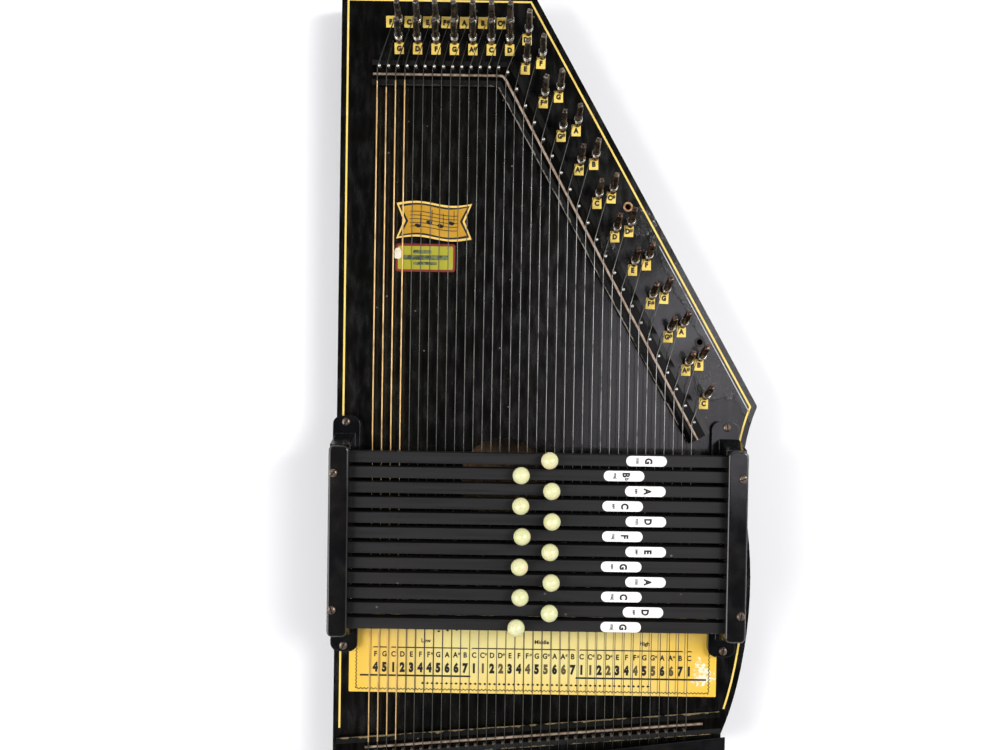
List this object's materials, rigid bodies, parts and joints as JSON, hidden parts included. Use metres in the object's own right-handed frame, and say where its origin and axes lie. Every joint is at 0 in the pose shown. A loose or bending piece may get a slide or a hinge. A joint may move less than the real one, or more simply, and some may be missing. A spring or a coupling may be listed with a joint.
{
  "type": "chorded zither",
  "caption": "Flat black wooden zither with rows of tuning pins, strings over two bridges, and sprung chord bars with round buttons held between two end holders.",
  "frame": {"origin": "under the middle of the whole instrument's box, on the plane of its flat back", "axes": "+Z out of the soundboard, +Y towards the tuning pins along the strings, +X towards the treble side"},
  "size_m": [0.298, 0.5728, 0.076],
  "materials": {
    "lacquered_wood": "gloss black lacquer",
    "rod_steel": "dull and rusty",
    "string_wire": "drawn wire",
    "holder_plastic": "gloss",
    "spring_steel": "drawn wire",
    "black_enamel": "gloss",
    "screw_steel": "worn",
    "bar_plastic": "satin",
    "pin_steel": "browned"
  },
  "bodies": {
    "body": {"body_frame": "lacquered_wood", "pin_block": "lacquered_wood", "soundboard": "lacquered_wood", "back_panel": "lacquered_wood", "string_bridges": "lacquered_wood", "bridge_rods_and_pins": "rod_steel", "strings": "string_wire", "bar_holders": "holder_plastic", "holder_covers": "holder_plastic", "bar_springs": "spring_steel", "tail_cover": "black_enamel", "screws_and_eyelets": "screw_steel"},
    "chord_bar_01": {"chord_bar_01": "bar_plastic"},
    "chord_bar_02": {"chord_bar_02": "bar_plastic"},
    "chord_bar_03": {"chord_bar_03": "bar_plastic"},
    "chord_bar_04": {"chord_bar_04": "bar_plastic"},
    "chord_bar_05": {"chord_bar_05": "bar_plastic"},
    "chord_bar_06": {"chord_bar_06": "bar_plastic"},
    "chord_bar_07": {"chord_bar_07": "bar_plastic"},
    "chord_bar_08": {"chord_bar_08": "bar_plastic"},
    "chord_bar_09": {"chord_bar_09": "bar_plastic"},
    "chord_bar_10": {"chord_bar_10": "bar_plastic"},
    "chord_bar_11": {"chord_bar_11": "bar_plastic"},
    "chord_bar_12": {"chord_bar_12": "bar_plastic"},
    "tuning_pin_01": {"tuning_pin_01": "pin_steel"},
    "tuning_pin_02": {"tuning_pin_02": "pin_steel"},
    "tuning_pin_03": {"tuning_pin_03": "pin_steel"},
    "tuning_pin_04": {"tuning_pin_04": "pin_steel"},
    "tuning_pin_05": {"tuning_pin_05": "pin_steel"},
    "tuning_pin_06": {"tuning_pin_06": "pin_steel"},
    "tuning_pin_07": {"tuning_pin_07": "pin_steel"},
    "tuning_pin_08": {"tuning_pin_08": "pin_steel"},
    "tuning_pin_09": {"tuning_pin_09": "pin_steel"},
    "tuning_pin_10": {"tuning_pin_10": "pin_steel"},
    "tuning_pin_11": {"tuning_pin_11": "pin_steel"},
    "tuning_pin_12": {"tuning_pin_12": "pin_steel"},
    "tuning_pin_13": {"tuning_pin_13": "pin_steel"},
    "tuning_pin_14": {"tuning_pin_14": "pin_steel"},
    "tuning_pin_15": {"tuning_pin_15": "pin_steel"},
    "tuning_pin_16": {"tuning_pin_16": "pin_steel"},
    "tuning_pin_17": {"tuning_pin_17": "pin_steel"},
    "tuning_pin_18": {"tuning_pin_18": "pin_steel"},
    "tuning_pin_19": {"tuning_pin_19": "pin_steel"},
    "tuning_pin_20": {"tuning_pin_20": "pin_steel"},
    "tuning_pin_21": {"tuning_pin_21": "pin_steel"},
    "tuning_pin_22": {"tuning_pin_22": "pin_steel"},
    "tuning_pin_23": {"tuning_pin_23": "pin_steel"},
    "tuning_pin_24": {"tuning_pin_24": "pin_steel"},
    "tuning_pin_25": {"tuning_pin_25": "pin_steel"},
    "tuning_pin_26": {"tuning_pin_26": "pin_steel"},
    "tuning_pin_27": {"tuning_pin_27": "pin_steel"},
    "tuning_pin_28": {"tuning_pin_28": "pin_steel"},
    "tuning_pin_29": {"tuning_pin_29": "pin_steel"},
    "tuning_pin_30": {"tuning_pin_30": "pin_steel"},
    "tuning_pin_31": {"tuning_pin_31": "pin_steel"},
    "tuning_pin_32": {"tuning_pin_32": "pin_steel"},
    "tuning_pin_33": {"tuning_pin_33": "pin_steel"},
    "tuning_pin_34": {"tuning_pin_34": "pin_steel"},
    "tuning_pin_35": {"tuning_pin_35": "pin_steel"},
    "tuning_pin_36": {"tuning_pin_36": "pin_steel"}
  },
  "joints": [
    {"name": "chord_bar_01_press", "type": "slide", "parent": "body", "child": "chord_bar_01", "axis": [0, 0, -1], "range_m": [0, 0.003], "stiffness_N_per_m": 500, "springref_m": -0.004, "deforming": ["bar_springs"]},
    {"name": "chord_bar_02_press", "type": "slide", "parent": "body", "child": "chord_bar_02", "axis": [0, 0, -1], "range_m": [0, 0.003], "stiffness_N_per_m": 500, "springref_m": -0.004, "deforming": ["bar_springs"]},
    {"name": "chord_bar_03_press", "type": "slide", "parent": "body", "child": "chord_bar_03", "axis": [0, 0, -1], "range_m": [0, 0.003], "stiffness_N_per_m": 500, "springref_m": -0.004, "deforming": ["bar_springs"]},
    {"name": "chord_bar_04_press", "type": "slide", "parent": "body", "child": "chord_bar_04", "axis": [0, 0, -1], "range_m": [0, 0.003], "stiffness_N_per_m": 500, "springref_m": -0.004, "deforming": ["bar_springs"]},
    {"name": "chord_bar_05_press", "type": "slide", "parent": "body", "child": "chord_bar_05", "axis": [0, 0, -1], "range_m": [0, 0.003], "stiffness_N_per_m": 500, "springref_m": -0.004, "deforming": ["bar_springs"]},
    {"name": "chord_bar_06_press", "type": "slide", "parent": "body", "child": "chord_bar_06", "axis": [0, 0, -1], "range_m": [0, 0.003], "stiffness_N_per_m": 500, "springref_m": -0.004, "deforming": ["bar_springs"]},
    {"name": "chord_bar_07_press", "type": "slide", "parent": "body", "child": "chord_bar_07", "axis": [0, 0, -1], "range_m": [0, 0.003], "stiffness_N_per_m": 500, "springref_m": -0.004, "deforming": ["bar_springs"]},
    {"name": "chord_bar_08_press", "type": "slide", "parent": "body", "child": "chord_bar_08", "axis": [0, 0, -1], "range_m": [0, 0.003], "stiffness_N_per_m": 500, "springref_m": -0.004, "deforming": ["bar_springs"]},
    {"name": "chord_bar_09_press", "type": "slide", "parent": "body", "child": "chord_bar_09", "axis": [0, 0, -1], "range_m": [0, 0.003], "stiffness_N_per_m": 500, "springref_m": -0.004, "deforming": ["bar_springs"]},
    {"name": "chord_bar_10_press", "type": "slide", "parent": "body", "child": "chord_bar_10", "axis": [0, 0, -1], "range_m": [0, 0.003], "stiffness_N_per_m": 500, "springref_m": -0.004, "deforming": ["bar_springs"]},
    {"name": "chord_bar_11_press", "type": "slide", "parent": "body", "child": "chord_bar_11", "axis": [0, 0, -1], "range_m": [0, 0.003], "stiffness_N_per_m": 500, "springref_m": -0.004, "deforming": ["bar_springs"]},
    {"name": "chord_bar_12_press", "type": "slide", "parent": "body", "child": "chord_bar_12", "axis": [0, 0, -1], "range_m": [0, 0.003], "stiffness_N_per_m": 500, "springref_m": -0.004, "deforming": ["bar_springs"]},
    {"name": "tuning_pin_01_turn", "type": "hinge", "parent": "body", "child": "tuning_pin_01", "pos_m": [-0.1067, 0.2656, 0.036], "axis": [0, 0.309, 0.9511], "continuous": true},
    {"name": "tuning_pin_02_turn", "type": "hinge", "parent": "body", "child": "tuning_pin_02", "pos_m": [-0.1067, 0.2536, 0.036], "axis": [0, 0.309, 0.9511], "continuous": true},
    {"name": "tuning_pin_03_turn", "type": "hinge", "parent": "body", "child": "tuning_pin_03", "pos_m": [-0.0938, 0.2656, 0.036], "axis": [0, 0.309, 0.9511], "continuous": true},
    {"name": "tuning_pin_04_turn", "type": "hinge", "parent": "body", "child": "tuning_pin_04", "pos_m": [-0.0938, 0.2536, 0.036], "axis": [0, 0.309, 0.9511], "continuous": true},
    {"name": "tuning_pin_05_turn", "type": "hinge", "parent": "body", "child": "tuning_pin_05", "pos_m": [-0.0809, 0.2656, 0.036], "axis": [0, 0.309, 0.9511], "continuous": true},
    {"name": "tuning_pin_06_turn", "type": "hinge", "parent": "body", "child": "tuning_pin_06", "pos_m": [-0.0809, 0.2536, 0.036], "axis": [0, 0.309, 0.9511], "continuous": true},
    {"name": "tuning_pin_07_turn", "type": "hinge", "parent": "body", "child": "tuning_pin_07", "pos_m": [-0.068, 0.2656, 0.036], "axis": [0, 0.309, 0.9511], "continuous": true},
    {"name": "tuning_pin_08_turn", "type": "hinge", "parent": "body", "child": "tuning_pin_08", "pos_m": [-0.068, 0.2536, 0.036], "axis": [0, 0.309, 0.9511], "continuous": true},
    {"name": "tuning_pin_09_turn", "type": "hinge", "parent": "body", "child": "tuning_pin_09", "pos_m": [-0.0551, 0.2656, 0.036], "axis": [0, 0.309, 0.9511], "continuous": true},
    {"name": "tuning_pin_10_turn", "type": "hinge", "parent": "body", "child": "tuning_pin_10", "pos_m": [-0.0551, 0.2536, 0.036], "axis": [0, 0.309, 0.9511], "continuous": true},
    {"name": "tuning_pin_11_turn", "type": "hinge", "parent": "body", "child": "tuning_pin_11", "pos_m": [-0.0422, 0.2656, 0.036], "axis": [0, 0.309, 0.9511], "continuous": true},
    {"name": "tuning_pin_12_turn", "type": "hinge", "parent": "body", "child": "tuning_pin_12", "pos_m": [-0.0422, 0.2536, 0.036], "axis": [0, 0.309, 0.9511], "continuous": true},
    {"name": "tuning_pin_13_turn", "type": "hinge", "parent": "body", "child": "tuning_pin_13", "pos_m": [-0.0293, 0.2656, 0.036], "axis": [0, 0.309, 0.9511], "continuous": true},
    {"name": "tuning_pin_14_turn", "type": "hinge", "parent": "body", "child": "tuning_pin_14", "pos_m": [-0.0293, 0.2536, 0.036], "axis": [0, 0.309, 0.9511], "continuous": true},
    {"name": "tuning_pin_15_turn", "type": "hinge", "parent": "body", "child": "tuning_pin_15", "pos_m": [-0.0162, 0.2604, 0.036], "axis": [0, 0.309, 0.9511], "continuous": true},
    {"name": "tuning_pin_16_turn", "type": "hinge", "parent": "body", "child": "tuning_pin_16", "pos_m": [-0.0171, 0.24, 0.036], "axis": [0, 0.309, 0.9511], "continuous": true},
    {"name": "tuning_pin_17_turn", "type": "hinge", "parent": "body", "child": "tuning_pin_17", "pos_m": [-0.0063, 0.2441, 0.036], "axis": [0, 0.309, 0.9511], "continuous": true},
    {"name": "tuning_pin_18_turn", "type": "hinge", "parent": "body", "child": "tuning_pin_18", "pos_m": [-0.00415, 0.21673, 0.036], "axis": [0, 0.309, 0.9511], "continuous": true},
    {"name": "tuning_pin_19_turn", "type": "hinge", "parent": "body", "child": "tuning_pin_19", "pos_m": [0.00646, 0.2208, 0.036], "axis": [0, 0.309, 0.9511], "continuous": true},
    {"name": "tuning_pin_20_turn", "type": "hinge", "parent": "body", "child": "tuning_pin_20", "pos_m": [0.0088, 0.19346, 0.036], "axis": [0, 0.309, 0.9511], "continuous": true},
    {"name": "tuning_pin_21_turn", "type": "hinge", "parent": "body", "child": "tuning_pin_21", "pos_m": [0.01922, 0.1975, 0.036], "axis": [0, 0.309, 0.9511], "continuous": true},
    {"name": "tuning_pin_22_turn", "type": "hinge", "parent": "body", "child": "tuning_pin_22", "pos_m": [0.02175, 0.17019, 0.036], "axis": [0, 0.309, 0.9511], "continuous": true},
    {"name": "tuning_pin_23_turn", "type": "hinge", "parent": "body", "child": "tuning_pin_23", "pos_m": [0.03198, 0.1742, 0.036], "axis": [0, 0.309, 0.9511], "continuous": true},
    {"name": "tuning_pin_24_turn", "type": "hinge", "parent": "body", "child": "tuning_pin_24", "pos_m": [0.0347, 0.14692, 0.036], "axis": [0, 0.309, 0.9511], "continuous": true},
    {"name": "tuning_pin_25_turn", "type": "hinge", "parent": "body", "child": "tuning_pin_25", "pos_m": [0.04474, 0.1509, 0.036], "axis": [0, 0.309, 0.9511], "continuous": true},
    {"name": "tuning_pin_26_turn", "type": "hinge", "parent": "body", "child": "tuning_pin_26", "pos_m": [0.04765, 0.12365, 0.036], "axis": [0, 0.309, 0.9511], "continuous": true},
    {"name": "tuning_pin_27_turn", "type": "hinge", "parent": "body", "child": "tuning_pin_27", "pos_m": [0.0575, 0.1276, 0.036], "axis": [0, 0.309, 0.9511], "continuous": true},
    {"name": "tuning_pin_28_turn", "type": "hinge", "parent": "body", "child": "tuning_pin_28", "pos_m": [0.0606, 0.10038, 0.036], "axis": [0, 0.309, 0.9511], "continuous": true},
    {"name": "tuning_pin_29_turn", "type": "hinge", "parent": "body", "child": "tuning_pin_29", "pos_m": [0.07026, 0.1043, 0.036], "axis": [0, 0.309, 0.9511], "continuous": true},
    {"name": "tuning_pin_30_turn", "type": "hinge", "parent": "body", "child": "tuning_pin_30", "pos_m": [0.07355, 0.07711, 0.036], "axis": [0, 0.309, 0.9511], "continuous": true},
    {"name": "tuning_pin_31_turn", "type": "hinge", "parent": "body", "child": "tuning_pin_31", "pos_m": [0.08302, 0.081, 0.036], "axis": [0, 0.309, 0.9511], "continuous": true},
    {"name": "tuning_pin_32_turn", "type": "hinge", "parent": "body", "child": "tuning_pin_32", "pos_m": [0.0865, 0.05384, 0.036], "axis": [0, 0.309, 0.9511], "continuous": true},
    {"name": "tuning_pin_33_turn", "type": "hinge", "parent": "body", "child": "tuning_pin_33", "pos_m": [0.09578, 0.0577, 0.036], "axis": [0, 0.309, 0.9511], "continuous": true},
    {"name": "tuning_pin_34_turn", "type": "hinge", "parent": "body", "child": "tuning_pin_34", "pos_m": [0.09945, 0.03057, 0.036], "axis": [0, 0.309, 0.9511], "continuous": true},
    {"name": "tuning_pin_35_turn", "type": "hinge", "parent": "body", "child": "tuning_pin_35", "pos_m": [0.10854, 0.0344, 0.036], "axis": [0, 0.309, 0.9511], "continuous": true},
    {"name": "tuning_pin_36_turn", "type": "hinge", "parent": "body", "child": "tuning_pin_36", "pos_m": [0.1124, 0.0073, 0.036], "axis": [0, 0.309, 0.9511], "continuous": true}
  ]
}
